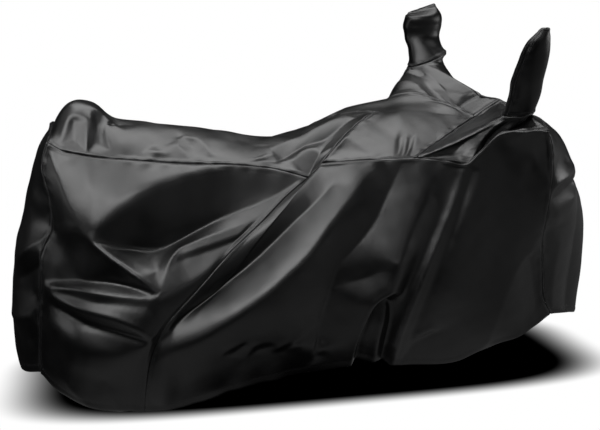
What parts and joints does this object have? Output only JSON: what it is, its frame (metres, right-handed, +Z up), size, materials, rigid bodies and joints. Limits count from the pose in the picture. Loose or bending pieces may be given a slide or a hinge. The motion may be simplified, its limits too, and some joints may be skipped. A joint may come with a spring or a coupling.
{
  "type": "motorcycle cover",
  "caption": "Fitted waterproof cloth cover that hangs over a parked motorcycle, with a pocket for each mirror.",
  "frame": {"origin": "the point under the seat dip, just below the cloth, where the parked machine carries the cover", "axes": "+X forward along the machine, +Y to its left, +Z up; the whole cover leans nine degrees to its right as over a machine on its side stand"},
  "size_m": [2.0095, 0.9579, 1.2412],
  "materials": {
    "coated_cloth": "black coated polyester with a satin sheen",
    "pocket_cloth": "black coated polyester with a satin sheen"
  },
  "bodies": {
    "root": {"side_rear_right": "coated_cloth", "side_front_right": "coated_cloth", "side_rear_left": "coated_cloth", "side_front_left": "coated_cloth", "seat_top": "coated_cloth", "tank_top": "coated_cloth", "rear_panel": "coated_cloth", "nose_panel": "coated_cloth", "handlebar_cover_right": "coated_cloth", "handlebar_cover_left": "coated_cloth", "mirror_pocket_right": "pocket_cloth", "mirror_pocket_left": "pocket_cloth"}
  },
  "joints": []
}
